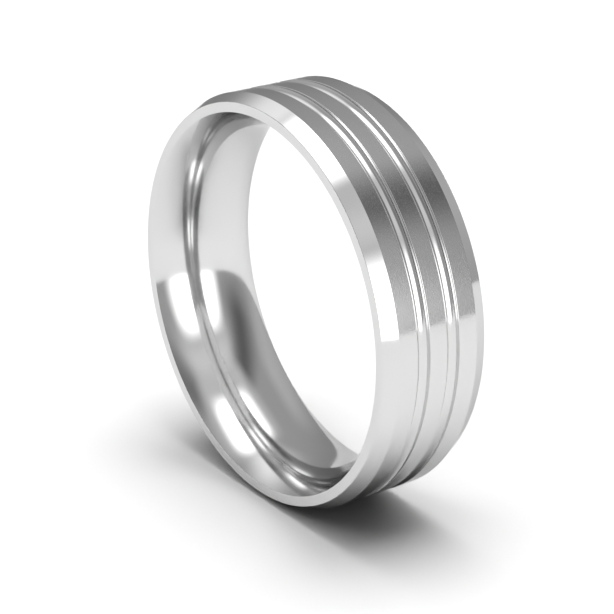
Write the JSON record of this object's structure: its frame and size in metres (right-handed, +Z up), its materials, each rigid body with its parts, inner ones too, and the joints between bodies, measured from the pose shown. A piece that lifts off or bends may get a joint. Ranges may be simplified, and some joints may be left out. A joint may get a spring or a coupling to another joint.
{
  "type": "wedding band",
  "caption": "Plain white metal wedding band with bevelled rims, two turned grooves between satin lands, and a domed comfort-fit bore.",
  "frame": {"origin": "centre of the ring, on its axis and midway between the rims", "axes": "+Y along the ring's axis, +Z up through the crown of the standing ring, +X to the side"},
  "size_m": [0.021, 0.006, 0.021],
  "materials": {
    "white_metal": "polished, with three fine satin lands round the outside"
  },
  "bodies": {
    "root": {"band": "white_metal"}
  },
  "joints": []
}
